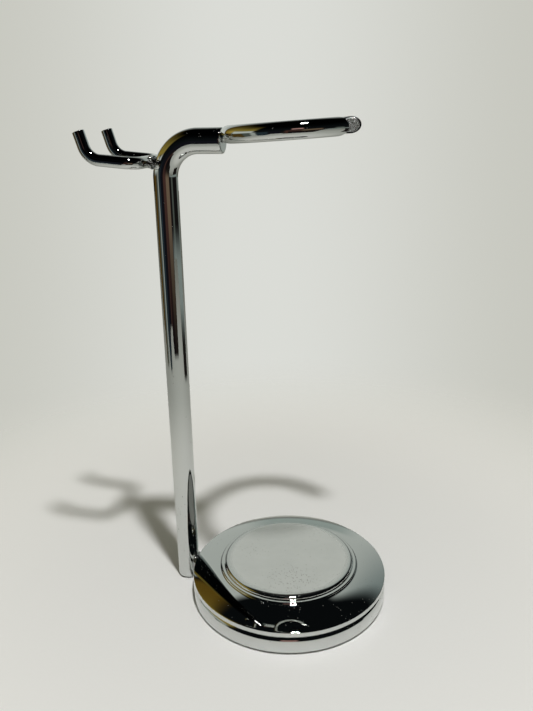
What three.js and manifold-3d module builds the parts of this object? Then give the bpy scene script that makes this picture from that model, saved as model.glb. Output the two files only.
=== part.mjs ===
// Countertop shaving stand. A bent chromed rod, brazed to the rim of a weighted round base,
// carries an open ring over the base for a brush and a two-pronged fork behind it for a razor.
// Units are millimetres and +Z is up. The origin is the centre of the base, on the table.
// The rod stands on the -X side, its arm and the ring reach towards +X, and Y is left to right.

import * as THREE from 'three';
import { mergeVertices } from 'three/addons/utils/BufferGeometryUtils.js';
import Module from 'manifold-3d';

// Post: one solid rod, straight up from the table, then bent over into a short level arm.
const POST_RADIUS = 4.0;
const POST_FOOT_Z = 0.2;
const POST_FOOT_CHAMFER = 0.9;
const POST_BASE_GAP = 0.1;
const POST_BEND_RADIUS = 11.5;
const ARM_Z = 162.25;
const ARM_END_X = -20.0;

// Brush ring: wire bent to an open circle, tilted up a little away from the post.
const RING_RADIUS = 20.6;
const RING_WIRE_RADIUS = 2.6;
const RING_CENTRE = new THREE.Vector3(3.3, 0, 165.35);
const RING_TILT = THREE.MathUtils.degToRad(3.4);
const RING_SLOT_WIDTH = 29.5;

// Razor fork: wire bent to a U with its prongs turned up at the ends.
const FORK_WIRE_RADIUS = 1.9;
const FORK_HALF_PITCH = 9.9;
const FORK_ROOT_Z = 155.9;
const FORK_PRONG_REACH = 15.7;
const FORK_PRONG_RISE = 1.4;
const FORK_TIP_REACH = 2.5;
const FORK_TIP_RISE = 8.4;
const FORK_TIP_BEND_RADIUS = 5.8;
const FORK_ROOT_BEND_RADIUS = 4.0;

// Base: a pressed lid over a pressed tray, both thin shells of revolution.
const TRAY_RADIUS = 35.75;
const TRAY_BOTTOM_Z = 0.5;
const TRAY_TOP_Z = 7.1;
const TRAY_THICKNESS = 1.2;
const TRAY_SHOULDER_RADIUS = 1.8;
const TRAY_OPENING_RADIUS = 22.5;
const LID_RADIUS = 35.7;
const LID_THICKNESS = 1.0;
const LID_EDGE_Z = 9.05;
const LID_CONE_Z = 11.4;
const LID_CONE_RADIUS = 26.3;
const LID_STEP_FOOT_Z = 11.75;
const LID_STEP_FOOT_RADIUS = 25.6;
const LID_STEP_Z = 12.4;
const LID_STEP_RADIUS = 25.4;
const LID_DISC_Z = 13.85;
const LID_DISC_RADIUS = 23.6;
const LID_DISC_EDGE_RADIUS = 1.0;
const LID_SMALL_EDGE_RADIUS = 0.45;

// Inside the base: a cast weight, one countersunk screw from below and a nut under the lid.
const BALLAST_BOTTOM_Z = 1.5;
const BALLAST_BOSS_RADIUS = 21.2;
const SCREW_RADIUS = 2.4;
const SCREW_HEAD_RADIUS = 4.5;
const SCREW_HEAD_HEIGHT = 2.2;
const SCREW_TIP_CHAMFER = 0.6;
const SCREW_TIP_ROOM = 1.0;
const SCREW_SLOT_WIDTH = 1.0;
const SCREW_SLOT_DEPTH = 1.0;
const NUT_ACROSS_CORNERS = 9.2;
const NUT_HEIGHT = 4.0;
const PAD_RADIUS = 34.2;

// Braze beads: ellipsoids of filler, given by centre and half-axes.
const RING_BEAD = { centre: [-19.9, 0, 163.65], halfAxes: [2.4, 4.0, 3.0] };
const FORK_BEAD = { centre: [-43.55, 0, 155.9], halfAxes: [2.6, 5.2, 2.7] };
const FOOT_BEAD = { centre: [-36.05, 0, 6.0], halfAxes: [3.0, 4.4, 4.4] };

// Clearances between neighbours.
const SEAM = 0.1;          // between flat faces that are stacked on each other
const BRAZE_GAP = 0.25;    // round a curved piece that a braze bead is cut to
const BORE_GAP = 0.4;      // round a screw or nut

// Facets.
const ROD_SIDES = 24;
const WIRE_SIDES = 18;
const RING_STEPS = 44;
const BEND_STEPS = 7;
const TURNED_SIDES = 60;
const SMALL_TURNED_SIDES = 24;

const POST_X = -(TRAY_RADIUS + POST_BASE_GAP + POST_RADIUS);

const wasm = await Module();
wasm.setup();

// ---- Solids ----------------------------------------------------------------------------

/** A closed three.js geometry as a manifold solid: shared corners, no slivers at the axis. */
function toSolid(geometry) {
  const bare = new THREE.BufferGeometry();
  bare.setAttribute('position', geometry.getAttribute('position'));
  bare.setIndex(geometry.getIndex());
  const merged = mergeVertices(bare, 1e-4);
  const corners = merged.getIndex().array;
  const kept = [];
  for (let i = 0; i < corners.length; i += 3) {
    const [a, b, c] = corners.slice(i, i + 3);
    if (a !== b && b !== c && c !== a) {
      kept.push(a, b, c);
    }
  }
  return new wasm.Manifold(new wasm.Mesh({
    numProp: 3,
    vertProperties: new Float32Array(merged.getAttribute('position').array),
    triVerts: new Uint32Array(kept),
  }));
}

/** A manifold solid back as a three.js geometry. */
function toGeometry(solid) {
  const mesh = solid.getMesh();
  const geometry = new THREE.BufferGeometry();
  geometry.setAttribute('position', new THREE.BufferAttribute(mesh.vertProperties, 3));
  geometry.setIndex(new THREE.BufferAttribute(mesh.triVerts, 1));
  geometry.computeVertexNormals();
  return geometry;
}

// ---- Outlines and turned pieces ------------------------------------------------------------

/** Round the corners of an outline of [r, z] or [r, z, cornerRadius] points. */
function roundedOutline(points, arcSteps = 4) {
  const outline = [];
  points.forEach(([r, z, cornerRadius], i) => {
    const corner = new THREE.Vector2(r, z);
    if (!cornerRadius) {
      outline.push(corner);
      return;
    }
    const [lastR, lastZ] = points[i - 1];
    const [nextR, nextZ] = points[i + 1];
    const back = new THREE.Vector2(lastR - r, lastZ - z).normalize();
    const ahead = new THREE.Vector2(nextR - r, nextZ - z).normalize();
    const halfAngle = Math.acos(THREE.MathUtils.clamp(back.dot(ahead), -1, 1)) / 2;
    const toTangent = cornerRadius / Math.tan(halfAngle);
    const toCentre = cornerRadius / Math.sin(halfAngle);
    const centre = back.clone().add(ahead).normalize().multiplyScalar(toCentre).add(corner);
    const start = back.multiplyScalar(toTangent).add(corner).sub(centre);
    const end = ahead.multiplyScalar(toTangent).add(corner).sub(centre);
    const from = start.angle();
    let sweep = end.angle() - from;
    sweep -= 2 * Math.PI * Math.round(sweep / (2 * Math.PI));
    for (let step = 0; step <= arcSteps; step += 1) {
      const angle = from + (sweep * step) / arcSteps;
      const spoke = new THREE.Vector2(Math.cos(angle), Math.sin(angle)).multiplyScalar(cornerRadius);
      outline.push(spoke.add(centre));
    }
  });
  return outline;
}

/** Turn an outline, listed anticlockwise with r across and z up, about the Z axis. */
function turned(points, sides = TURNED_SIDES) {
  const outline = roundedOutline(points);
  return new THREE.LatheGeometry(outline, sides).rotateX(Math.PI / 2);
}

/** The same for an outline that doesn't touch the axis: it is closed on its first point. */
function turnedRing(points, sides = TURNED_SIDES) {
  return turned([...points, points[0]], sides);
}

// ---- Bent rods -------------------------------------------------------------------------------

/** A path given only at chosen stations, so straight runs cost no facets. */
class StationPath extends THREE.Curve {
  constructor(stations) {
    super();
    this.stations = stations;
  }

  station(u) {
    return this.stations[Math.round(u * (this.stations.length - 1))];
  }

  getPoint(u, target = new THREE.Vector3()) {
    return target.copy(this.station(u).point);
  }

  getPointAt(u, target) {
    return this.getPoint(u, target);
  }

  getTangentAt(u, target = new THREE.Vector3()) {
    return target.copy(this.station(u).tangent);
  }
}

/** A run of straight lines whose inner corners are bent to the given radii. */
function bentPath(corners, bendRadii) {
  const stations = [];
  const heading = (from, to) => to.clone().sub(from).normalize();
  stations.push({ point: corners[0], tangent: heading(corners[0], corners[1]) });
  for (let i = 1; i < corners.length - 1; i += 1) {
    const into = heading(corners[i - 1], corners[i]);
    const out = heading(corners[i], corners[i + 1]);
    const turn = into.angleTo(out);
    const radius = bendRadii[i - 1];
    const start = corners[i].clone().addScaledVector(into, -radius * Math.tan(turn / 2));
    const inward = out.clone().addScaledVector(into, -out.dot(into)).normalize();
    const centre = start.clone().addScaledVector(inward, radius);
    for (let step = 0; step <= BEND_STEPS; step += 1) {
      const angle = (turn * step) / BEND_STEPS;
      const tangent = into.clone().multiplyScalar(Math.cos(angle)).addScaledVector(inward, Math.sin(angle));
      const point = centre.clone()
        .addScaledVector(into, radius * Math.sin(angle))
        .addScaledVector(inward, -radius * Math.cos(angle));
      stations.push({ point, tangent });
    }
  }
  const last = corners.length - 1;
  stations.push({ point: corners[last], tangent: heading(corners[last - 1], corners[last]) });
  return new StationPath(stations);
}

/** A level circle about the origin, open on its +X side between plus and minus openAngle. */
function openCircle(radius, openAngle, steps) {
  const stations = [];
  for (let step = 0; step <= steps; step += 1) {
    const angle = openAngle + ((2 * Math.PI - 2 * openAngle) * step) / steps;
    const outward = new THREE.Vector3(Math.cos(angle), Math.sin(angle), 0);
    stations.push({
      point: outward.clone().multiplyScalar(radius),
      tangent: new THREE.Vector3(-outward.y, outward.x, 0),
    });
  }
  return new StationPath(stations);
}

/** A round rod swept along a station path. */
function rod(path, radius, sides) {
  const section = new THREE.Shape();
  section.absarc(0, 0, radius, 0, 2 * Math.PI);
  return new THREE.ExtrudeGeometry(section, {
    extrudePath: path,
    steps: path.stations.length - 1,
    curveSegments: sides / 2,
  });
}

// ---- Post --------------------------------------------------------------------------------------

function postPath() {
  return bentPath([
    new THREE.Vector3(POST_X, 0, POST_FOOT_Z),
    new THREE.Vector3(POST_X, 0, ARM_Z),
    new THREE.Vector3(ARM_END_X, 0, ARM_Z),
  ], [POST_BEND_RADIUS]);
}

function postRod(extraRadius = 0) {
  return toSolid(rod(postPath(), POST_RADIUS + extraRadius, ROD_SIDES));
}

/** The ring of metal taken off the foot's lower edge, at 45 degrees. */
function footChamferCut() {
  const margin = 1;
  const outside = POST_RADIUS + margin;
  const below = POST_FOOT_Z - margin;
  const cut = turnedRing([
    [POST_RADIUS - POST_FOOT_CHAMFER - margin, below],
    [outside, below],
    [outside, POST_FOOT_Z + POST_FOOT_CHAMFER + margin],
  ], SMALL_TURNED_SIDES);
  return toSolid(cut.translate(POST_X, 0, 0));
}

function post() {
  return toGeometry(postRod().subtract(footChamferCut()));
}

// ---- Brush ring ----------------------------------------------------------------------------------

/** The ring's wire, placed and tilted, before its ends are sawn off. */
function ringWire(extraRadius = 0) {
  const slotHalfAngle = Math.asin(RING_SLOT_WIDTH / 2 / (RING_RADIUS + RING_WIRE_RADIUS));
  const blankHalfAngle = 0.6 * slotHalfAngle;
  return rod(openCircle(RING_RADIUS, blankHalfAngle, RING_STEPS), RING_WIRE_RADIUS + extraRadius, WIRE_SIDES)
    .rotateY(-RING_TILT)
    .translate(...RING_CENTRE);
}

/** A parallel-sided slot sawn through the +X side of the ring. */
function brushRing() {
  const reach = 2 * (RING_RADIUS + RING_WIRE_RADIUS);
  const slot = new THREE.BoxGeometry(reach, RING_SLOT_WIDTH, 8 * RING_WIRE_RADIUS)
    .translate(RING_CENTRE.x + reach / 2, 0, RING_CENTRE.z);
  return toGeometry(toSolid(ringWire()).subtract(toSolid(slot)));
}

// ---- Razor fork ------------------------------------------------------------------------------------

function forkPath() {
  const rootX = POST_X - POST_RADIUS - FORK_WIRE_RADIUS - SEAM;
  const bendX = rootX - FORK_PRONG_REACH;
  const bendZ = FORK_ROOT_Z + FORK_PRONG_RISE;
  const tipX = bendX - FORK_TIP_REACH;
  const tipZ = bendZ + FORK_TIP_RISE;
  const prong = (y) => [
    new THREE.Vector3(tipX, y, tipZ),
    new THREE.Vector3(bendX, y, bendZ),
    new THREE.Vector3(rootX, y, FORK_ROOT_Z),
  ];
  const corners = [...prong(-FORK_HALF_PITCH), ...prong(FORK_HALF_PITCH).reverse()];
  const tip = FORK_TIP_BEND_RADIUS;
  const root = FORK_ROOT_BEND_RADIUS;
  return bentPath(corners, [tip, root, root, tip]);
}

function forkWire(extraRadius = 0) {
  return rod(forkPath(), FORK_WIRE_RADIUS + extraRadius, WIRE_SIDES);
}

// ---- Base --------------------------------------------------------------------------------------------

/** Outer faces of the lid from its rim to the axis, each offset inwards by the sheet's thickness. */
function lidOutline() {
  const inset = LID_THICKNESS;
  const rimZ = TRAY_TOP_Z + SEAM;
  return [
    [0, LID_DISC_Z - inset],
    [LID_DISC_RADIUS - inset, LID_DISC_Z - inset],
    [LID_DISC_RADIUS - inset, LID_STEP_Z - inset],
    [LID_STEP_RADIUS - inset, LID_STEP_Z - inset],
    [LID_STEP_RADIUS, LID_CONE_Z - inset],
    [LID_RADIUS - inset, LID_EDGE_Z - inset],
    [LID_RADIUS - inset, rimZ],
    [LID_RADIUS, rimZ],
    [LID_RADIUS, LID_EDGE_Z, LID_SMALL_EDGE_RADIUS],
    [LID_CONE_RADIUS, LID_CONE_Z],
    [LID_STEP_FOOT_RADIUS, LID_STEP_FOOT_Z],
    [LID_STEP_RADIUS, LID_STEP_Z, LID_SMALL_EDGE_RADIUS],
    [LID_DISC_RADIUS, LID_STEP_Z],
    [LID_DISC_RADIUS, LID_DISC_Z, LID_DISC_EDGE_RADIUS],
    [0, LID_DISC_Z],
  ];
}

function trayOutline() {
  const inner = TRAY_RADIUS - TRAY_THICKNESS;
  const ceiling = TRAY_TOP_Z - TRAY_THICKNESS;
  return [
    [inner, TRAY_BOTTOM_Z],
    [TRAY_RADIUS, TRAY_BOTTOM_Z],
    [TRAY_RADIUS, TRAY_TOP_Z, TRAY_SHOULDER_RADIUS],
    [TRAY_OPENING_RADIUS, TRAY_TOP_Z],
    [TRAY_OPENING_RADIUS, ceiling],
    [inner, ceiling],
  ];
}

/** Cast weight: a wide flange inside the tray and a boss that fills the lid, bored for the screw. */
function ballast() {
  const flangeRadius = TRAY_RADIUS - TRAY_THICKNESS - BORE_GAP;
  const flangeTop = TRAY_TOP_Z - TRAY_THICKNESS - SEAM;
  const bossTop = LID_DISC_Z - LID_THICKNESS - BORE_GAP;
  const bore = SCREW_RADIUS + BORE_GAP;
  const sink = SCREW_HEAD_RADIUS + BORE_GAP;
  const pocket = NUT_ACROSS_CORNERS / 2 + BORE_GAP;
  const pocketFloor = LID_DISC_Z - LID_THICKNESS - SEAM - NUT_HEIGHT - BORE_GAP;
  return turnedRing([
    [sink, BALLAST_BOTTOM_Z],
    [flangeRadius, BALLAST_BOTTOM_Z],
    [flangeRadius, flangeTop],
    [BALLAST_BOSS_RADIUS, flangeTop],
    [BALLAST_BOSS_RADIUS, bossTop],
    [pocket, bossTop],
    [pocket, pocketFloor],
    [bore, pocketFloor],
    [bore, BALLAST_BOTTOM_Z + SCREW_HEAD_HEIGHT],
  ]);
}

function clampScrew() {
  const headZ = BALLAST_BOTTOM_Z + SEAM;
  const tipZ = LID_DISC_Z - LID_THICKNESS - SCREW_TIP_ROOM;
  const blank = toSolid(turned([
    [0, headZ],
    [SCREW_HEAD_RADIUS, headZ],
    [SCREW_RADIUS, headZ + SCREW_HEAD_HEIGHT],
    [SCREW_RADIUS, tipZ - SCREW_TIP_CHAMFER],
    [SCREW_RADIUS - SCREW_TIP_CHAMFER, tipZ],
    [0, tipZ],
  ], SMALL_TURNED_SIDES));
  const slot = new THREE.BoxGeometry(3 * SCREW_HEAD_RADIUS, SCREW_SLOT_WIDTH, 2 * SCREW_SLOT_DEPTH)
    .translate(0, 0, headZ);
  return toGeometry(blank.subtract(toSolid(slot)));
}

function weldNut() {
  const topZ = LID_DISC_Z - LID_THICKNESS - SEAM;
  const hexagon = new THREE.CylinderGeometry(
    NUT_ACROSS_CORNERS / 2, NUT_ACROSS_CORNERS / 2, NUT_HEIGHT, 6,
  ).rotateX(Math.PI / 2).translate(0, 0, topZ - NUT_HEIGHT / 2);
  const bore = new THREE.CylinderGeometry(
    SCREW_RADIUS + SEAM, SCREW_RADIUS + SEAM, 2 * NUT_HEIGHT, SMALL_TURNED_SIDES,
  ).rotateX(Math.PI / 2).translate(0, 0, topZ - NUT_HEIGHT / 2);
  return toGeometry(toSolid(hexagon).subtract(toSolid(bore)));
}

function basePad() {
  return turned([
    [0, 0],
    [PAD_RADIUS, 0],
    [PAD_RADIUS, BALLAST_BOTTOM_Z - SEAM],
    [0, BALLAST_BOTTOM_Z - SEAM],
  ]);
}

// ---- Braze beads ---------------------------------------------------------------------------------------

/** An ellipsoid of filler with the pieces it joins cut out of it. */
function bead({ centre, halfAxes }, neighbours) {
  const blob = new THREE.SphereGeometry(1, 20, 14).scale(...halfAxes).translate(...centre);
  return toGeometry(neighbours.reduce((filler, piece) => filler.subtract(piece), toSolid(blob)));
}

function ringBraze() {
  return bead(RING_BEAD, [postRod(SEAM), toSolid(ringWire(BRAZE_GAP))]);
}

function forkBraze() {
  return bead(FORK_BEAD, [postRod(BRAZE_GAP), toSolid(forkWire(BRAZE_GAP))]);
}

/** The foot's filler fills the notch either side of the rod and caps it above the lid's rim. */
function footBraze() {
  const hullRadius = TRAY_RADIUS + BRAZE_GAP;
  const baseHull = turned([
    [0, -1],
    [hullRadius, -1],
    [hullRadius, LID_EDGE_Z],
    [LID_CONE_RADIUS, LID_STEP_Z],
    [0, LID_STEP_Z],
  ]);
  return bead(FOOT_BEAD, [postRod(BRAZE_GAP), toSolid(baseHull)]);
}

// ---- Assembly --------------------------------------------------------------------------------------------

const chrome = { color: 0xcfd2d2, roughness: 0.06, metalness: 1 };
const brazeMetal = { color: 0x9da1a2, roughness: 0.35, metalness: 1 };
const castIron = { color: 0x3a3a3b, roughness: 0.8, metalness: 0.4 };
const zincSteel = { color: 0xa9a79c, roughness: 0.4, metalness: 0.9 };
const rubber = { color: 0x17181a, roughness: 0.9, metalness: 0 };

const pieces = [
  ['post', post(), chrome],
  ['brush_ring', brushRing(), chrome],
  ['razor_fork', toGeometry(toSolid(forkWire())), chrome],
  ['base_lid', turned(lidOutline()), chrome],
  ['base_tray', turnedRing(trayOutline()), chrome],
  ['ballast_weight', ballast(), castIron],
  ['clamp_screw', clampScrew(), zincSteel],
  ['weld_nut', weldNut(), zincSteel],
  ['base_pad', basePad(), rubber],
  ['ring_braze', ringBraze(), brazeMetal],
  ['fork_braze', forkBraze(), brazeMetal],
  ['foot_braze', footBraze(), brazeMetal],
];

const shavingStand = new THREE.Group();
for (const [name, geometry, finish] of pieces) {
  const mesh = new THREE.Mesh(geometry, new THREE.MeshStandardMaterial(finish));
  mesh.name = name;
  shavingStand.add(mesh);
}

export default shavingStand;
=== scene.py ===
"""Looks for the shaving stand: smooth chromed rod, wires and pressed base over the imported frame."""
import math

import bmesh
import bpy
from mathutils import Matrix, Vector, noise


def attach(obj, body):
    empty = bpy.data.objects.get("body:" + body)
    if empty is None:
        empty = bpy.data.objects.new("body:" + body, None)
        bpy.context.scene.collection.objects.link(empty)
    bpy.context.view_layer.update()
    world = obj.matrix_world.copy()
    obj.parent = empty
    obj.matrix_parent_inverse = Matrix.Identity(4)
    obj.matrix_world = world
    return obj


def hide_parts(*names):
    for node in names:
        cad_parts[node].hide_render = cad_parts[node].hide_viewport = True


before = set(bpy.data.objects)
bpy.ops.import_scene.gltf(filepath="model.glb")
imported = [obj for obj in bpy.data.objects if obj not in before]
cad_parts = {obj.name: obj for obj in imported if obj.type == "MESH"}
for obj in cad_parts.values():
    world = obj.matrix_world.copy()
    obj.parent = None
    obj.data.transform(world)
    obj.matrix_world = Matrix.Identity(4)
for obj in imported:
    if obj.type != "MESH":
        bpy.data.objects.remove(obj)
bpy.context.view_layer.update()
MM = 0.001

# ---- Sizes, in millimetres, in the frame of the CAD -------------------------------------------
POST_R = 4.0
POST_X = -39.85
POST_FOOT_Z = 0.2
ARM_Z = 162.25
ARM_END_X = -20.0
BEND_R = 11.5
RING_R = 20.6
RING_WIRE_R = 2.6
RING_C = Vector((3.3, 0.0, 165.35))
RING_TILT = math.radians(3.4)
RING_SLOT_HALF = 14.75
RING_GAP_HALF = math.radians(25)
FORK_R = 1.9
FORK_HALF_PITCH = 9.9
FORK_ROOT = Vector((-45.85, 0.0, 155.9))
FORK_BEND = Vector((-61.55, 0.0, 157.3))
FORK_TIP = Vector((-64.05, 0.0, 165.7))
LID_DISC_Z = 13.6
LID_RIM_Z = 8.85
LID_RIM_R = 35.44
LID_ARC_R = 66.0
TRAY_R = 35.75
TRAY_BOTTOM_Z = 0.5
TRAY_TOP_Z = 7.1
TRAY_WALL = 1.2
TRAY_OPENING_R = 22.5
TRAY_SHOULDER_R = 3.2
PAD_R = 34.2
PAD_TOP_Z = 1.4
PAD_EDGE_R = 0.25

# Drops of filler: CAD node, centre, half sizes, seed of the lumps and how deep they are.
BEADS = [
    ("ring_braze", (-19.5, 0, 163.9), (1.5, 2.9, 2.2), 3.0, 0.16),
    ("fork_braze", (-44.3, 0, 155.8), (1.9, 3.2, 2.2), 7.0, 0.22),
    ("foot_braze", (-36.3, 0, 5.6), (1.6, 3.4, 3.9), 11.0, 0.16),
]

# ---- Camera and key light --------------------------------------------------------------------
CAMERA_PLACE = Vector((47.631, -217.392, 169.575))
CAMERA_YAW = math.radians(-14.164)
CAMERA_PITCH = math.radians(19.011)
CAMERA_ROLL = math.radians(0.951)
CAMERA_LENS = 35.35
CAMERA_SENSOR = 36
KEY_PLACE = Vector((60, -111, 549))
KEY_AIM = Vector((-20, 0, 40))


# ---- Mesh helpers --------------------------------------------------------------------------------
def finish_mesh(bm, name, materials, sharp_degrees=35.0):
    """Turn a bmesh in millimetres into a smooth-shaded object in metres."""
    bmesh.ops.remove_doubles(bm, verts=bm.verts, dist=1e-5)
    bmesh.ops.recalc_face_normals(bm, faces=bm.faces)
    bmesh.ops.scale(bm, vec=(MM, MM, MM), verts=bm.verts)
    mesh = bpy.data.meshes.new(name)
    bm.to_mesh(mesh)
    bm.free()
    mesh.shade_smooth()
    mesh.set_sharp_from_angle(angle=math.radians(sharp_degrees))
    for material in materials:
        mesh.materials.append(material)
    piece = bpy.data.objects.new(name, mesh)
    bpy.context.scene.collection.objects.link(piece)
    return piece


def rounded_outline(points, arc_steps=8):
    """Round the corners of a list of (r, z) or (r, z, corner radius)."""
    outline = []
    for i, point in enumerate(points):
        corner = Vector(point[:2])
        radius = point[2] if len(point) > 2 else 0.0
        if not radius:
            outline.append(corner)
            continue
        back = (Vector(points[i - 1][:2]) - corner).normalized()
        ahead = (Vector(points[i + 1][:2]) - corner).normalized()
        half = back.angle(ahead) / 2
        centre = corner + (back + ahead).normalized() * radius / math.sin(half)
        start = corner + back * radius / math.tan(half) - centre
        end = corner + ahead * radius / math.tan(half) - centre
        sweep = math.atan2(start.x * end.y - start.y * end.x, start.dot(end))
        for step in range(arc_steps + 1):
            turn = Matrix.Rotation(sweep * step / arc_steps, 2)
            outline.append(centre + turn @ start)
    return outline


def with_supports(outline, closed, inset=0.06):
    """Add a point close to each end of every long run, so that smooth shading stays flat on it."""
    dense = []
    count = len(outline)
    for i in range(count if closed else count - 1):
        a, b = outline[i], outline[(i + 1) % count]
        run = b - a
        dense.append(a)
        if run.length > 4 * inset:
            dense.append(a + run.normalized() * inset)
            pieces = max(1, int(run.length / 1.5))
            for k in range(1, pieces):
                dense.append(a.lerp(b, k / pieces))
            dense.append(b - run.normalized() * inset)
    if not closed:
        dense.append(outline[-1])
    return dense


def lathe(outline, closed, sides=240):
    """Turn an outline about Z. An open outline starts and ends on the axis."""
    bm = bmesh.new()
    rings = []
    for point in outline:
        if abs(point.x) < 1e-7:
            rings.append([bm.verts.new((0, 0, point.y))])
            continue
        rings.append([
            bm.verts.new((
                point.x * math.cos(2 * math.pi * k / sides),
                point.x * math.sin(2 * math.pi * k / sides),
                point.y,
            ))
            for k in range(sides)
        ])
    spans = list(zip(rings, rings[1:]))
    if closed:
        spans.append((rings[-1], rings[0]))
    for lower, upper in spans:
        for k in range(sides):
            n = (k + 1) % sides
            if len(lower) == 1 and len(upper) == 1:
                continue
            if len(lower) == 1:
                bm.faces.new((lower[0], upper[n], upper[k]))
            elif len(upper) == 1:
                bm.faces.new((lower[k], lower[n], upper[0]))
            else:
                bm.faces.new((lower[k], lower[n], upper[n], upper[k]))
    return bm


def bent_stations(corners, radii, bend_steps=32, run_step=4.0):
    """Points and tangents along straight runs joined by bends of the given radii."""
    stations = []

    def straight(a, b, heading):
        count = max(1, int((b - a).length / run_step))
        for k in range(count + 1):
            stations.append((a.lerp(b, k / count), heading))

    start = corners[0]
    for i in range(1, len(corners) - 1):
        into = (corners[i] - corners[i - 1]).normalized()
        out = (corners[i + 1] - corners[i]).normalized()
        turn = into.angle(out)
        reach = radii[i - 1] * math.tan(turn / 2)
        bend_start = corners[i] - into * reach
        straight(start, bend_start, into)
        inward = (out - into * out.dot(into)).normalized()
        centre = bend_start + inward * radii[i - 1]
        for k in range(1, bend_steps):
            angle = turn * k / bend_steps
            tangent = into * math.cos(angle) + inward * math.sin(angle)
            point = centre + into * radii[i - 1] * math.sin(angle) - inward * radii[i - 1] * math.cos(angle)
            stations.append((point, tangent))
        start = corners[i] + out * reach
    straight(start, corners[-1], (corners[-1] - corners[-2]).normalized())
    return stations


def sweep(stations, radius, sides=72, start_round=0.0, end_round=0.0):
    """Sweep a circle along stations, keeping its seam from twisting; ends may be rounded over."""
    profile = []

    def cap(point, tangent, round_over, outward):
        rings = []
        for share in (0.25, 0.6, 0.9):
            rings.append((point, tangent, (radius - round_over) * share))
        steps = 7 if round_over else 0
        for k in range(steps + 1):
            angle = math.pi / 2 * k / max(1, steps)
            depth = round_over * (1 - math.cos(angle))
            wide = radius - round_over + round_over * math.sin(angle)
            rings.append((point - outward * depth, tangent, wide))
        return rings

    first_point, first_tangent = stations[0]
    last_point, last_tangent = stations[-1]
    profile.extend(cap(first_point, first_tangent, start_round, -first_tangent))
    for point, tangent in stations[1:-1]:
        past_start = (point - first_point).length > start_round * 1.2
        before_end = (point - last_point).length > end_round * 1.2
        if past_start and before_end:
            profile.append((point, tangent, radius))
    profile.extend(reversed(cap(last_point, last_tangent, end_round, last_tangent)))

    bm = bmesh.new()
    side = first_tangent.orthogonal().normalized()
    rings = []
    for point, tangent, wide in profile:
        side = (side - tangent * side.dot(tangent)).normalized()
        up = tangent.cross(side)
        ring = []
        for k in range(sides):
            angle = 2 * math.pi * k / sides
            ring.append(bm.verts.new(point + (side * math.cos(angle) + up * math.sin(angle)) * wide))
        rings.append(ring)
    for lower, upper in zip(rings, rings[1:]):
        for k in range(sides):
            n = (k + 1) % sides
            bm.faces.new((lower[k], lower[n], upper[n], upper[k]))
    bm.faces.new(list(reversed(rings[0])))
    bm.faces.new(rings[-1])
    return bm


# ---- Pieces ---------------------------------------------------------------------------------------
def build_post(chrome):
    stations = bent_stations(
        [Vector((POST_X, 0, POST_FOOT_Z)), Vector((POST_X, 0, ARM_Z)), Vector((ARM_END_X, 0, ARM_Z))],
        [BEND_R], bend_steps=48)
    bm = sweep(stations, POST_R, sides=96, start_round=0.9, end_round=0.5)
    return finish_mesh(bm, "post_rod", [chrome])


def build_ring(chrome, sawn):
    bm = bmesh.new()
    sides, steps = 72, 200
    rings = []
    for step in range(steps + 1):
        angle = RING_GAP_HALF + (2 * math.pi - 2 * RING_GAP_HALF) * step / steps
        outward = Vector((math.cos(angle), math.sin(angle), 0))
        rings.append([
            bm.verts.new(outward * (RING_R + RING_WIRE_R * math.cos(2 * math.pi * k / sides))
                         + Vector((0, 0, RING_WIRE_R * math.sin(2 * math.pi * k / sides))))
            for k in range(sides)
        ])
    for lower, upper in zip(rings, rings[1:]):
        for k in range(sides):
            n = (k + 1) % sides
            bm.faces.new((lower[k], lower[n], upper[n], upper[k]))
    place = Matrix.Translation(RING_C) @ Matrix.Rotation(-RING_TILT, 4, "Y")
    bmesh.ops.transform(bm, matrix=place, verts=bm.verts)
    cut_open_end(bm, 1)
    cut_open_end(bm, -1)
    piece = finish_mesh(bm, "brush_ring_wire", [chrome, sawn])
    for polygon in piece.data.polygons:
        if abs(polygon.normal.y) > 0.999 and polygon.area > 1e-5 * 0.5:
            polygon.material_index = 1
    return piece


def cut_open_end(bm, sign):
    """Saw one open end of the ring off along its side of the parallel slot."""
    near = [v for v in bm.verts if v.co.x > RING_C.x and v.co.y * sign > 0]
    faces = {f for v in near for f in v.link_faces}
    edges = {e for f in faces for e in f.edges}
    result = bmesh.ops.bisect_plane(
        bm, geom=near + list(edges) + list(faces), plane_co=(0, sign * RING_SLOT_HALF, 0),
        plane_no=(0, -sign, 0), clear_outer=True, dist=1e-6)
    cut = [item for item in result["geom_cut"] if isinstance(item, bmesh.types.BMEdge)]
    bmesh.ops.contextual_create(bm, geom=cut)


def build_fork(chrome):
    tip, bend, root = FORK_TIP, FORK_BEND, FORK_ROOT
    side = Vector((0, FORK_HALF_PITCH, 0))
    corners = [tip - side, bend - side, root - side, root + side, bend + side, tip + side]
    stations = bent_stations(corners, [5.8, 4.0, 4.0, 5.8], bend_steps=28, run_step=2.0)
    bm = sweep(stations, FORK_R, sides=64, start_round=0.15, end_round=0.15)
    return finish_mesh(bm, "razor_fork_wire", [chrome])


def arc_run(start, radius, slope_from, slope_to, steps):
    """Follow an arc outwards and down from a point, between two downward slopes in degrees.

    A growing slope makes a convex arc and a shrinking one a concave arc.
    """
    sign = 1.0 if slope_to > slope_from else -1.0
    a, b = math.radians(slope_from), math.radians(slope_to)
    points = []
    for k in range(1, steps + 1):
        t = a + (b - a) * k / steps
        points.append(start + Vector((sign * (math.sin(t) - math.sin(a)),
                                      sign * (math.cos(t) - math.cos(a)))) * radius)
    return points


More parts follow.
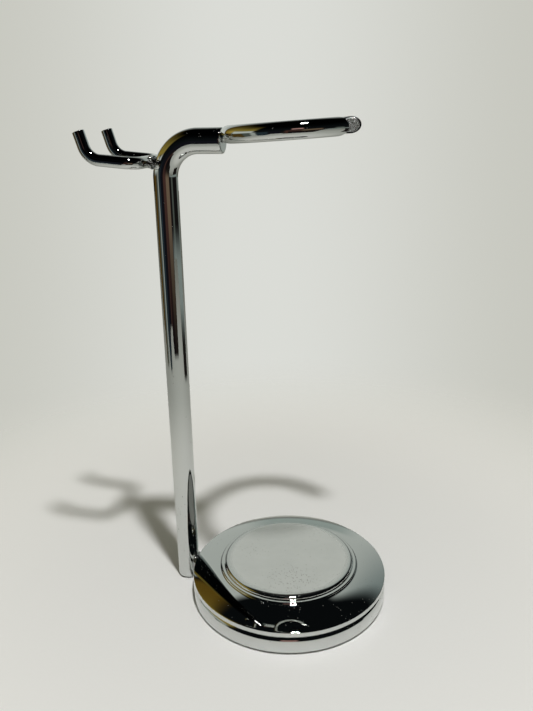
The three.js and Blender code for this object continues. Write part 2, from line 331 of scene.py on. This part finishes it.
def lid_outline():
    """The lid's section: crowned disc, pressed step, ledge, cove and a slightly domed flange."""
    top = [Vector((0.0, LID_DISC_Z)), Vector((21.0, LID_DISC_Z))]
    top = with_supports(top, False)
    for radius, slope_from, slope_to, steps in (
            (9.0, 0, 13, 12), (0.9, 13, 78, 14), (0.5, 78, 3, 12)):
        top += arc_run(top[-1], radius, slope_from, slope_to, steps)
    ledge = top[-1] + Vector((math.cos(math.radians(3)), -math.sin(math.radians(3)))) * 0.55
    top += with_supports([top[-1], ledge], False)[1:]
    for radius, slope_from, slope_to, steps in ((0.5, 3, 72, 12), (0.55, 72, 12, 10)):
        top += arc_run(top[-1], radius, slope_from, slope_to, steps)

    inner = top[-1]
    rise, chord = inner.y - LID_RIM_Z, LID_RIM_R - inner.x
    slope_mid = math.degrees(math.atan2(rise, chord))
    half = math.degrees(math.asin(math.hypot(chord, rise) / 2 / LID_ARC_R))
    flange = arc_run(inner, LID_ARC_R, slope_mid - half, slope_mid + half, 30)
    rim = arc_run(flange[-1], 0.4, slope_mid + half, 90, 9)
    edge = rim[-1].x
    inside = [
        Vector((edge, 7.2)), Vector((edge - 1.0, 7.2)), Vector((edge - 1.0, 7.9)),
        Vector((25.0, 10.4)), Vector((24.2, 11.2)), Vector((22.6, 11.4)), Vector((22.4, 12.6)),
        Vector((0.0, 12.8)),
    ]
    return top + flange + rim + with_supports(inside, False)


def build_lid(chrome):
    return finish_mesh(lathe(lid_outline(), False, sides=288), "base_lid_shell", [chrome], 40)


def build_tray(chrome):
    under_top = TRAY_TOP_Z - TRAY_WALL
    outline = rounded_outline([
        (TRAY_R - TRAY_WALL, TRAY_BOTTOM_Z), (TRAY_R, TRAY_BOTTOM_Z, 0.45),
        (TRAY_R, TRAY_TOP_Z, TRAY_SHOULDER_R), (TRAY_OPENING_R, TRAY_TOP_Z),
        (TRAY_OPENING_R, under_top), (TRAY_R - TRAY_WALL - 0.5, under_top),
    ], 12)
    bm = lathe(with_supports(outline, True), True, sides=288)
    return finish_mesh(bm, "base_tray_shell", [chrome], 40)


def build_pad(rubber):
    outline = rounded_outline([
        (0.0, 0.0), (PAD_R, 0.0, PAD_EDGE_R), (PAD_R, PAD_TOP_Z, PAD_EDGE_R), (0.0, PAD_TOP_Z),
    ], 5)
    bm = lathe(with_supports(outline, False), False, sides=192)
    return finish_mesh(bm, "base_pad_foam", [rubber], 40)


def build_bead(name, metal, centre, radii, seed, lumps):
    """A lumpy drop of filler metal."""
    bm = bmesh.new()
    bmesh.ops.create_icosphere(bm, subdivisions=5, radius=1.0)
    for vert in bm.verts:
        direction = vert.co.normalized()
        swell = lumps * noise.noise(direction * 2.3 + Vector((seed, 0, 0)))
        swell += 0.4 * lumps * noise.noise(direction * 6.1 + Vector((0, seed, 0)))
        vert.co = Vector(d * r for d, r in zip(direction * (1 + swell), radii)) + Vector(centre)
    return finish_mesh(bm, name, [metal], 180)


# ---- Camera ------------------------------------------------------------------------------------------
def add_camera():
    yaw, pitch, roll = CAMERA_YAW, CAMERA_PITCH, CAMERA_ROLL
    ahead = Vector((math.cos(pitch) * math.sin(yaw), math.cos(pitch) * math.cos(yaw), -math.sin(pitch)))
    level = Vector((math.cos(yaw), -math.sin(yaw), 0))
    down = ahead.cross(level)
    right = math.cos(roll) * level + math.sin(roll) * down
    below = -math.sin(roll) * level + math.cos(roll) * down
    data = bpy.data.cameras.new("camera")
    data.lens = CAMERA_LENS
    data.sensor_width = CAMERA_SENSOR
    data.clip_start = 0.01
    camera = bpy.data.objects.new("camera", data)
    bpy.context.scene.collection.objects.link(camera)
    turn = Matrix((right, -below, -ahead)).transposed().to_4x4()
    camera.matrix_world = Matrix.Translation(CAMERA_PLACE * MM) @ turn
    bpy.context.scene.camera = camera


# ---- Shader helpers ------------------------------------------------------------------------------------
class Nodes:
    """A thin wrapper that makes node graphs readable as expressions."""

    def __init__(self, tree):
        self.tree = tree
        tree.nodes.clear()

    def new(self, kind, **settings):
        node = self.tree.nodes.new(kind)
        for key, value in settings.items():
            setattr(node, key, value)
        return node

    def plug(self, socket, value):
        if hasattr(value, "is_output"):
            self.tree.links.new(value, socket)
        elif isinstance(value, tuple) and len(value) == 3 and len(socket.default_value) == 4:
            socket.default_value = (*value, 1.0)
        else:
            socket.default_value = value

    def math(self, operation, *values):
        node = self.new("ShaderNodeMath", operation=operation)
        for socket, value in zip(node.inputs, values):
            self.plug(socket, value)
        return node.outputs[0]

    def smooth(self, value, low, high):
        """0 below low, 1 above high, smooth between; low may lie above high to turn it over."""
        node = self.new("ShaderNodeMapRange", interpolation_type="SMOOTHSTEP")
        start, end = (0.0, 1.0) if low <= high else (1.0, 0.0)
        for socket, item in zip(node.inputs, (value, min(low, high), max(low, high), start, end)):
            self.plug(socket, item)
        return node.outputs[0]

    def band(self, value, low, high, soft):
        return self.math("MULTIPLY", self.smooth(value, low - soft, low + soft),
                         self.smooth(value, high + soft, high - soft))

    def mix(self, factor, a, b):
        node = self.new("ShaderNodeMix", data_type="RGBA")
        self.plug(node.inputs[0], factor)
        self.plug(node.inputs[6], a)
        self.plug(node.inputs[7], b)
        return node.outputs[2]

    def mix_shader(self, factor, a, b):
        node = self.new("ShaderNodeMixShader")
        self.plug(node.inputs[0], factor)
        self.tree.links.new(a, node.inputs[1])
        self.tree.links.new(b, node.inputs[2])
        return node.outputs[0]

    def noise(self, vector, scale, detail=2.0, roughness=0.5):
        node = self.new("ShaderNodeTexNoise")
        self.plug(node.inputs["Vector"], vector)
        self.plug(node.inputs["Scale"], scale)
        self.plug(node.inputs["Detail"], detail)
        self.plug(node.inputs["Roughness"], roughness)
        return node.outputs[0]

    def lerp(self, factor, a, b):
        """a where the factor is 0, b where it is 1."""
        step = self.math("SUBTRACT", b, a)
        return self.math("MULTIPLY_ADD", factor, step, a)

    def mirrored_ray(self):
        """Degrees above level at which the mirrored ray leaves, and how much it heads for -Y."""
        geometry = self.new("ShaderNodeNewGeometry")
        ahead = self.new("ShaderNodeVectorMath", operation="SCALE")
        self.plug(ahead.inputs[0], geometry.outputs["Incoming"])
        ahead.inputs["Scale"].default_value = -1.0
        mirrored = self.new("ShaderNodeVectorMath", operation="REFLECT")
        self.plug(mirrored.inputs[0], ahead.outputs[0])
        self.plug(mirrored.inputs[1], geometry.outputs["Normal"])
        split = self.new("ShaderNodeSeparateXYZ")
        self.plug(split.inputs[0], mirrored.outputs[0])
        height = self.math("MULTIPLY", self.math("ARCSINE", split.outputs[2]), 180 / math.pi)
        return height, self.smooth(split.outputs[1], 0.0, -0.4)

    def voronoi(self, vector, scale):
        return self.cells(vector, scale)[0]

    def cells(self, vector, scale):
        """Distance to the nearest of many scattered points, and a random number for that point."""
        node = self.new("ShaderNodeTexVoronoi")
        self.plug(node.inputs["Vector"], vector)
        self.plug(node.inputs["Scale"], scale)
        split = self.new("ShaderNodeSeparateColor")
        self.plug(split.inputs[0], node.outputs["Color"])
        return node.outputs["Distance"], split.outputs[0]

    def object_point(self):
        return self.new("ShaderNodeTexCoord").outputs["Object"]

    def spot(self, point, centre, radius):
        """1 at a point of the object, 0 beyond a radius, both in millimetres."""
        gap = self.new("ShaderNodeVectorMath", operation="DISTANCE")
        self.plug(gap.inputs[0], point)
        self.plug(gap.inputs[1], tuple(c * MM for c in centre))
        return self.smooth(gap.outputs["Value"], radius * MM, 0.0)

    def bump(self, height, distance_mm, strength=1.0):
        node = self.new("ShaderNodeBump")
        self.plug(node.inputs["Strength"], strength)
        self.plug(node.inputs["Distance"], distance_mm * MM)
        self.plug(node.inputs["Height"], height)
        return node.outputs["Normal"]

    def principled(self, **inputs):
        node = self.new("ShaderNodeBsdfPrincipled")
        for key, value in inputs.items():
            self.plug(node.inputs[key.replace("_", " ")], value)
        return node.outputs[0]

    def finish(self, shader, kind="ShaderNodeOutputMaterial"):
        self.tree.links.new(shader, self.new(kind).inputs["Surface"])


def new_material(name):
    material = bpy.data.materials.new(name)
    material.use_nodes = True
    return material, Nodes(material.node_tree)


# ---- Materials -------------------------------------------------------------------------------------------
CHROME_TINT = (0.60, 0.617, 0.604)


def chrome_material(name, dust=0.3, pits=0.3, clusters=(), hazy_disc=0.0, creases=(), painted_reflection=False,
                    painted_black_low_front=False):
    """Bright chrome: faint waviness, fine pits, and dust that lies in specks on upward faces.

    Painted reflection on pieces held up high: the backdrop is near, so its dim top is met at lower
    angles than on the base; their colour is darkened where the mirrored ray climbs and lightened in a
    band just above level. A piece turned away from the front gets a black band painted where it
    would mirror what stands low in front of it.
    """
    material, n = new_material(name)
    point = n.object_point()
    cloud = n.noise(point, 45.0, 3.0)
    wave = n.noise(point, 260.0, 2.0)
    crowd = n.math("MULTIPLY", n.smooth(cloud, 0.52, 0.8), 0.6)
    for centre, radius, weight in clusters:
        near = n.math("MULTIPLY", n.spot(point, centre, radius), weight)
        crowd = n.math("MAXIMUM", crowd, near)
    gap, chance = n.cells(point, 1500.0)
    speck = n.math("LESS_THAN", gap, n.math("MULTIPLY_ADD", chance, 0.25, 0.20))
    kept = n.math("LESS_THAN", chance, n.math("MULTIPLY_ADD", crowd, 0.6 * dust, 0.02 * dust))
    speck = n.math("MULTIPLY", speck, kept)
    upward = n.new("ShaderNodeSeparateXYZ")
    n.plug(upward.inputs[0], n.new("ShaderNodeNewGeometry").outputs["Normal"])
    speck = n.math("MULTIPLY", speck, n.smooth(upward.outputs[2], -0.6, 0.2))
    pit_size = n.math("MULTIPLY", n.smooth(cloud, 0.35, 0.75), 0.14 * pits)
    pit = n.math("LESS_THAN", n.voronoi(point, 2300.0), pit_size)
    mark = n.math("MAXIMUM", speck, pit)
    tint_and_painted_reflection = n.mix(cloud, CHROME_TINT, tuple(c * 1.05 for c in CHROME_TINT))
    # Painted reflection: darker where the mirrored ray climbs towards the dim room, paler just above level.
    if painted_reflection:
        climb, forward = n.mirrored_ray()
        tint_and_painted_reflection = n.mix(n.smooth(climb, 12.0, 52.0), tint_and_painted_reflection, (0.05, 0.05, 0.05))
        tint_and_painted_reflection = n.mix(n.band(climb, 1.0, 17.0, 4.0), tint_and_painted_reflection, (0.85, 0.85, 0.84))
        # Painted reflection: black where a piece turned away from the front would mirror what stands low in
        # front.
        if painted_black_low_front:
            painted_black_band = n.math("MULTIPLY", n.band(climb, 4.0, 22.0, 3.0), forward)
            tint_and_painted_reflection = n.mix(n.math("MULTIPLY", painted_black_band, 0.93), tint_and_painted_reflection, (0.0, 0.0, 0.0))
    colour = n.mix(mark, tint_and_painted_reflection, (0.13, 0.13, 0.125))
    roughness = n.math("MULTIPLY_ADD", cloud, 0.012, 0.004)
    if hazy_disc:
        away = n.new("ShaderNodeVectorMath", operation="LENGTH")
        flat = n.new("ShaderNodeVectorMath", operation="MULTIPLY")
        n.plug(flat.inputs[0], point)
        flat.inputs[1].default_value = (1.0, 1.0, 0.0)
        n.plug(away.inputs[0], flat.outputs[0])
        on_disc = n.smooth(away.outputs["Value"], 0.0232, 0.0206)
        roughness = n.math("MULTIPLY_ADD", on_disc, hazy_disc, roughness)
        film = n.math("MULTIPLY", on_disc, n.math("MULTIPLY_ADD", n.noise(point, 90.0, 4.0), 0.16, 0.32))
        across = n.new("ShaderNodeSeparateXYZ")
        n.plug(across.inputs[0], point)
        away_from_front = n.smooth(across.outputs[1], -17.0 * MM, -6.0 * MM)
        # Painted shade: dark lines along the creases at the foot of the pressed steps, left off at the
        # front.
        for radius in creases:
            crease_shade = n.band(away.outputs["Value"], (radius - 0.25) * MM, (radius + 0.25) * MM, 0.15 * MM)
            crease_shade = n.math("MULTIPLY", crease_shade, away_from_front)
            colour = n.mix(n.math("MULTIPLY", crease_shade, 0.8), colour, (0.04, 0.05, 0.05))
    roughness = n.math("MAXIMUM", roughness, n.math("MULTIPLY", mark, 0.6))
    height = n.math("SUBTRACT", n.math("MULTIPLY", wave, 0.010), n.math("MULTIPLY", pit, 0.006))
    metal = n.math("SUBTRACT", 1.0, n.math("MULTIPLY", speck, 0.8))
    if hazy_disc:
        metal = n.math("MULTIPLY", metal, n.math("SUBTRACT", 1.0, film))
    n.finish(n.principled(
        Base_Color=colour,
        Specular_IOR_Level=n.math("MULTIPLY_ADD", mark, -0.5, 0.5),
        Metallic=metal,
        Roughness=roughness,
        Normal=n.bump(height, 1.0, 0.3),
    ))
    return material


def sawn_material():
    """The ring's sawn ends: chrome plated over coarse diagonal saw marks; their smooth rim is
    painted near black, a painted dark reflection.
    """
    material, n = new_material("sawn_chrome")
    point = n.object_point()
    turned = n.new("ShaderNodeMapping")
    n.plug(turned.inputs["Vector"], point)
    turned.inputs["Rotation"].default_value = (0.0, math.radians(-40.0), 0.0)
    turned.inputs["Scale"].default_value = (1.0, 1.0, 3.0)
    marks = n.noise(turned.outputs[0], 2100.0, 3.0, 0.7)
    grain = n.noise(point, 4600.0, 3.0, 0.7)
    both = n.math("ADD", marks, grain)
    shade = n.mix(n.smooth(both, 0.90, 1.14), (0.05, 0.06, 0.06), (0.86, 0.89, 0.89))
    # Distance from the wire's own centre line, in the plane of the tilted ring.
    level = n.new("ShaderNodeMapping", vector_type="TEXTURE")
    n.plug(level.inputs["Vector"], point)
    level.inputs["Location"].default_value = RING_C * MM
    level.inputs["Rotation"].default_value = (0.0, -RING_TILT, 0.0)
    split = n.new("ShaderNodeSeparateXYZ")
    n.plug(split.inputs[0], level.outputs[0])
    x, y, z = split.outputs
    round_ring = n.math("SQRT", n.math("ADD", n.math("MULTIPLY", x, x), n.math("MULTIPLY", y, y)))
    across = n.math("SUBTRACT", round_ring, RING_R * MM)
    off_centre = n.math("SQRT", n.math("ADD", n.math("MULTIPLY", across, across), n.math("MULTIPLY", z, z)))
    # Painted reflection: the smooth rim round the sawn face is painted near black.
    rim = n.smooth(off_centre, (RING_WIRE_R - 0.50) * MM, (RING_WIRE_R - 0.34) * MM)
    height = n.math("MULTIPLY_ADD", marks, 0.16, n.math("MULTIPLY", grain, 0.08))
    height = n.math("MULTIPLY", height, n.math("SUBTRACT", 1.0, rim))
    n.finish(n.principled(
        Base_Color=n.mix(rim, shade, (0.015, 0.016, 0.016)), Metallic=0.92,
        Roughness=n.math("MULTIPLY_ADD", rim, -0.12, 0.26), Normal=n.bump(height, 1.0, 0.9)))
    return material


def braze_material():
    """Chromed filler metal: shiny, but rippled and pitted."""
    material, n = new_material("chromed_braze")
    point = n.object_point()
    lumps = n.noise(point, 900.0, 3.0, 0.6)
    pores = n.smooth(n.voronoi(point, 1400.0), 0.32, 0.08)
    pores = n.math("MULTIPLY", pores, n.smooth(n.noise(point, 500.0), 0.45, 0.6))
    colour = n.mix(pores, (0.36, 0.37, 0.37), (0.03, 0.03, 0.03))
    height = n.math("SUBTRACT", n.math("MULTIPLY", lumps, 0.16), n.math("MULTIPLY", pores, 0.10))
    n.finish(n.principled(
        Base_Color=colour, Metallic=1.0,
        Roughness=n.math("MULTIPLY_ADD", pores, 0.5, 0.06), Normal=n.bump(height, 1.0, 0.8)))
    return material


def rubber_material():
    """Dark closed-cell foam, matt, with a fine cell pattern."""
    material, n = new_material("foam_rubber")
    point = n.object_point()
    cells = n.voronoi(point, 3200.0)
    mottle = n.noise(point, 350.0, 3.0)
    colour = n.mix(mottle, (0.012, 0.012, 0.014), (0.035, 0.035, 0.038))
    n.finish(n.principled(
        Base_Color=colour, Roughness=n.math("MULTIPLY_ADD", mottle, 0.15, 0.78),
        Normal=n.bump(cells, 0.08, 0.8)))
    return material


def iron_material():
    """Rough grey casting with a sandy skin and a little rust."""
    material, n = new_material("cast_iron")
    point = n.object_point()
    sand = n.noise(point, 1600.0, 5.0, 0.7)
    patch = n.noise(point, 120.0, 4.0, 0.6)
    iron = n.mix(sand, (0.035, 0.035, 0.037), (0.12, 0.12, 0.125))
    colour = n.mix(n.math("MULTIPLY", n.smooth(patch, 0.55, 0.75), 0.7), iron, (0.16, 0.06, 0.025))
    n.finish(n.principled(
        Base_Color=colour, Metallic=0.5, Roughness=n.math("MULTIPLY_ADD", sand, 0.3, 0.55),
        Normal=n.bump(sand, 0.3, 0.8)))
    return material


def zinc_material():
    """Zinc plate on a screw and nut: satin, slightly yellow, with fine turning marks."""
    material, n = new_material("zinc_steel")
    point = n.object_point()
    stretched = n.new("ShaderNodeMapping")
    n.plug(stretched.inputs["Vector"], point)
    stretched.inputs["Scale"].default_value = (0.15, 0.15, 1.0)
    marks = n.noise(stretched.outputs[0], 5200.0, 2.0)
    bloom = n.noise(point, 420.0, 4.0, 0.65)
    colour = n.mix(bloom, (0.42, 0.40, 0.34), (0.62, 0.60, 0.55))
    n.finish(n.principled(
        Base_Color=colour, Metallic=1.0, Roughness=n.math("MULTIPLY_ADD", bloom, 0.25, 0.25),
        Normal=n.bump(marks, 0.02, 0.6)))
    return material


# ---- Studio ---------------------------------------------------------------------------------------------
BACKDROP = (0.705, 0.715, 0.675)
BACKDROP_EDGE_SHADE = (0.575, 0.578, 0.525)
AMBIENT = (0.185, 0.180, 0.138)
CHROME_GAIN = 0.62


def seen(red, green, blue):
    """The light that chrome must meet to look like this sRGB colour."""
    def linear(value):
        value /= 255.0
        return (value / 12.92 if value < 0.04045 else ((value + 0.055) / 1.055) ** 2.4) / CHROME_GAIN
    return tuple(linear(v) for v in (red, green, blue))


PALE = seen(135, 140, 135)
GREY = seen(100, 105, 100)
DARK_GREY = seen(65, 70, 65)
SLATE = seen(30, 40, 45)
BLACK = seen(15, 15, 20)
BROWN = seen(60, 40, 35)
TAN = seen(95, 80, 65)
DARK_OCHRE = seen(65, 50, 20)

# What stands round the table below eye level: azimuth from and to, and how it looks in chrome.
LOW_ROOM = [
    (-105, -70, DARK_OCHRE),
    (-120, -105, DARK_GREY),
    (-130, -120, PALE),
    (-150, -130, SLATE),
    (-170, -150, BLACK),
    (-190, -175, BROWN),
    (160, 190, BROWN),
    (130, 160, TAN),
    (95, 110, DARK_GREY),
    (20, 45, GREY),
    (-25, 20, PALE),
]


def edge_fall(n):
    """0 in the middle of the picture, 1 at its left and right edges."""
    split = n.new("ShaderNodeSeparateXYZ")
    n.plug(split.inputs[0], n.new("ShaderNodeTexCoord").outputs["Window"])
    return n.smooth(n.math("ABSOLUTE", n.math("SUBTRACT", split.outputs[0], 0.48)), 0.02, 0.56)


def add_world():
    """Plain pale backdrop for the eye; chrome sees the studio: pale wall behind, dark room above."""
    world = bpy.data.worlds.new("studio")
    bpy.context.scene.world = world
    world.use_nodes = True
    n = Nodes(world.node_tree)
    split = n.new("ShaderNodeSeparateXYZ")
    coords = n.new("ShaderNodeTexCoord")
    n.plug(split.inputs[0], coords.outputs["Generated"])
    x, y, z = split.outputs
    azimuth = n.math("MULTIPLY", n.math("ARCTAN2", x, y), 180 / math.pi)
    height = n.math("MULTIPLY", n.math("ARCSINE", z), 180 / math.pi)

    room = n.mix(n.smooth(height, -14.0, 4.0), (0.012, 0.010, 0.009), (0.0035, 0.0045, 0.005))
    low = n.smooth(height, 3.0, -3.0)
    for start, end, colour in LOW_ROOM:
        room = n.mix(n.math("MULTIPLY", low, n.band(azimuth, start, end, 3)), room, colour)
    # A grey wall on the right shows only low down, under a dark top.
    under = n.math("MULTIPLY", n.band(height, -16.0, -10.0, 2.0), n.band(azimuth, 40, 124, 8))
    room = n.mix(under, room, seen(112, 120, 116))
    # The things on the front right are darkest near the table.
    dim = n.math("MULTIPLY", n.smooth(height, -4.0, -19.0), n.smooth(azimuth, 122, 134))
    room = n.mix(n.math("MULTIPLY", dim, 0.95), room, (0.004, 0.004, 0.005))
    # Something pink stands in front of the base.
    pink = n.math("MULTIPLY", n.band(azimuth, 159, 176, 2), n.band(height, 8.0, 18.0, 3.0))
    room = n.mix(pink, room, seen(140, 108, 102))
    # The backdrop's left edge leans over; an ochre wall stands behind it, over pale boards.
    lean = n.math("MULTIPLY_ADD", n.smooth(height, 0.0, 40.0), 14.0, -57.0)
    from_edge = n.math("SUBTRACT", azimuth, lean)
    boards = n.math("MULTIPLY", n.band(azimuth, -124, -81, 4), n.band(height, 0.0, 16.0, 3.0))
    room = n.mix(boards, room, seen(138, 144, 138))
    ochre = n.math("MULTIPLY", n.band(azimuth, -126, -30, 6), n.smooth(from_edge, -1.0, -5.0))
    foot = n.math("MULTIPLY_ADD", n.smooth(azimuth, -77, -85), 14.0, 2.0)
    ochre = n.math("MULTIPLY", ochre, n.smooth(n.math("SUBTRACT", height, foot), -3.0, 5.0))
    ochre = n.math("MULTIPLY", ochre, n.smooth(height, 57.0, 45.0))
    gold = n.mix(n.smooth(azimuth, -84, -48), seen(126, 110, 50), seen(78, 60, 18))
    room = n.mix(ochre, room, gold)
    # The pale backdrop, lower and fainter towards its right end.
    crest = n.math("MULTIPLY_ADD", n.smooth(azimuth, 10, 30), -14.0, 52.5)
    soft = n.math("MULTIPLY_ADD", n.smooth(azimuth, 6, 26), 7.0, 2.5)
    over = n.math("DIVIDE", n.math("SUBTRACT", crest, height), soft)
    wall = n.math("MULTIPLY", n.smooth(over, -1.0, 1.0), n.smooth(from_edge, -1.5, 1.5))
    wall = n.math("MULTIPLY", wall, n.smooth(azimuth, 50, 38))
    wall = n.math("MULTIPLY", wall, n.smooth(height, -3.0, 3.0))
    tone = n.mix(n.smooth(azimuth, 3, 27), seen(153, 157, 152), seen(106, 115, 113))
    shaded = n.math("MULTIPLY", n.band(azimuth, -19, 1, 4), n.smooth(height, 15.0, 10.0))
    tone = n.mix(n.math("MULTIPLY", shaded, 0.8), tone, seen(118, 129, 124))
    room = n.mix(wall, room, tone)

    rays = n.new("ShaderNodeLightPath")
    # Painted shade: for the eye the backdrop darkens towards the picture's left and right edges.
    colour = n.mix(rays.outputs["Is Camera Ray"], AMBIENT, n.mix(edge_fall(n), BACKDROP, BACKDROP_EDGE_SHADE))
    colour = n.mix(rays.outputs["Is Glossy Ray"], colour, room)
    shader = n.new("ShaderNodeBackground")
    n.plug(shader.inputs["Color"], colour)
    n.finish(shader.outputs[0], "ShaderNodeOutputWorld")


SHEET_FRONT = 350.0
SHEET_RIGHT = 650.0
SHEET_BACK = 1500.0

# Things that stand on the sheet: bearing of the middle, half the angle taken up, and distance.
STANDING = [
    (65, 25, 220.0),
    (155, 25, 270.0),
    (-145, 12, 240.0),
    (-110, 15, 250.0),
]


def sheet_extent(n, bearing):
    """Millimetres of sheet in view from the post, by compass bearing from +Y over +X in degrees."""
    extent = n.lerp(n.smooth(bearing, -85, -62), SHEET_FRONT, SHEET_BACK)
    extent = n.lerp(n.smooth(bearing, 18, 34), extent, SHEET_RIGHT)
    extent = n.lerp(n.smooth(bearing, 120, 140), extent, SHEET_FRONT)
    for middle, half, distance in STANDING:
        extent = n.lerp(n.band(bearing, middle - half, middle + half, 6), extent, distance)
    return extent


def add_floor():
    """A pale sheet that melts into the backdrop; chrome sees where it ends.
    Painted light: away from the base the sheet is paler and, for the eye, glows a little;
    seen in the chrome it is darker away from the post.
    """
    bm = bmesh.new()
    bmesh.ops.create_circle(bm, cap_ends=True, radius=1.6, segments=96)
    mesh = bpy.data.meshes.new("floor")
    bm.to_mesh(mesh)
    bm.free()
    floor = bpy.data.objects.new("floor", mesh)
    bpy.context.scene.collection.objects.link(floor)
    material, n = new_material("pale_sheet")
    mesh.materials.append(material)
    point = n.object_point()
    split = n.new("ShaderNodeSeparateXYZ")
    n.plug(split.inputs[0], point)
    x, y, _ = split.outputs
    away = n.math("SQRT", n.math("ADD", n.math("MULTIPLY", x, x), n.math("MULTIPLY", y, y)))
    from_post = n.math("ADD", x, -POST_X * MM)
    bearing = n.math("MULTIPLY", n.math("ARCTAN2", from_post, y), 180 / math.pi)
    reach = n.math("SQRT", n.math("ADD", n.math("MULTIPLY", from_post, from_post), n.math("MULTIPLY", y, y)))
    extent = n.math("MULTIPLY", sheet_extent(n, bearing), MM)
    rays = n.new("ShaderNodeLightPath")
    eye, chrome = rays.outputs["Is Camera Ray"], rays.outputs["Is Glossy Ray"]
    grain = n.noise(point, 900.0, 3.0)
    paper_with_painted_light = n.mix(grain, (0.765, 0.775, 0.79), (0.785, 0.795, 0.81))
    # Painted light: the sheet is made paler away from the base.
    paper_with_painted_light = n.mix(n.smooth(away, 0.03, 0.26), paper_with_painted_light, (0.98, 0.98, 0.97))
    # Painted shade: seen in the chrome, the sheet darkens away from the post.
    painted_far_shade = n.math("MULTIPLY", n.smooth(reach, 0.07, 0.20), chrome)
    paper_with_painted_light = n.mix(painted_far_shade, paper_with_painted_light, (0.57, 0.59, 0.585))
    # Painted light: for the eye the sheet glows a little away from the base.
    sheet = n.principled(
        Base_Color=paper_with_painted_light, Roughness=0.9, Normal=n.bump(grain, 0.02, 0.3),
        Emission_Color=(1.0, 1.0, 0.97),
        Emission_Strength=n.math("MULTIPLY", n.math("MULTIPLY", n.smooth(away, 0.05, 0.24), 0.09), eye))
    clear = n.new("ShaderNodeBsdfTransparent").outputs[0]
    melt = n.math("MULTIPLY", n.smooth(away, 0.105, 0.27), eye)
    ends = n.math("MULTIPLY", n.smooth(n.math("SUBTRACT", reach, extent), -0.012, 0.012), chrome)
    n.finish(n.mix_shader(n.math("MAXIMUM", melt, ends), sheet, clear))


def add_lamp(name, watts, size, lights_paper):
    """A round lamp in the key light's place that lights matt things or is seen in the chrome."""
    data = bpy.data.lights.new(name, "AREA")
    data.shape = "DISK"
    data.size = size * MM
    data.energy = watts
    data.color = (1.0, 0.985, 0.95)
    lamp = bpy.data.objects.new(name, data)
    bpy.context.scene.collection.objects.link(lamp)
    lamp.location = KEY_PLACE * MM
    lamp.visible_diffuse = lights_paper
    lamp.visible_glossy = not lights_paper
    lamp.rotation_euler = (KEY_AIM - KEY_PLACE).to_track_quat("-Z", "Y").to_euler()


# ---- Assemble ---------------------------------------------------------------------------------------------
bpy.context.scene.view_settings.view_transform = "Standard"
chrome_rod = chrome_material(
    "chrome_rod", dust=0.35, pits=0.35, clusters=[((POST_X, -3.5, 22.0), 22.0, 0.9)], painted_reflection=True)
chrome_lid = chrome_material(
    "chrome_lid", dust=0.9, pits=0.2, hazy_disc=0.10, creases=(23.3, 25.2),
    clusters=[((-13.0, 2.0, 13.6), 8.0, 1.0), ((4.0, -14.0, 13.6), 15.0, 1.2)])
chrome_tray = chrome_material("chrome_tray", dust=0.6, pits=0.3)
chrome_fork = chrome_material("chrome_fork", dust=0.35, pits=0.35, painted_reflection=True, painted_black_low_front=True)
braze = braze_material()

pieces = [
    (build_post(chrome_rod), "post", "chrome_rod"),
    (build_ring(chrome_rod, sawn_material()), "brush_ring", "chrome_rod"),
    (build_fork(chrome_fork), "razor_fork", "chrome_rod"),
    (build_lid(chrome_lid), "base_lid", "chrome_sheet"),
    (build_tray(chrome_tray), "base_tray", "chrome_sheet"),
    (build_pad(rubber_material()), "base_pad", "foam_rubber"),
]
for node, *shape in BEADS:
    pieces.append((build_bead(node + "_bead", braze, *shape), node, "braze"))
for piece, node, slot in pieces:
    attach(piece, "root")
    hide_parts(node)

iron, zinc = iron_material(), zinc_material()
inside = {"ballast_weight": iron, "clamp_screw": zinc, "weld_nut": zinc}
for node, material in inside.items():
    for slot in bpy.data.objects[node].material_slots:
        slot.material = material

add_camera()
add_world()
add_floor()
add_lamp("key_lamp", watts=2.1, size=28, lights_paper=True)
add_lamp("key_lamp_glow", watts=5.5, size=54, lights_paper=False)
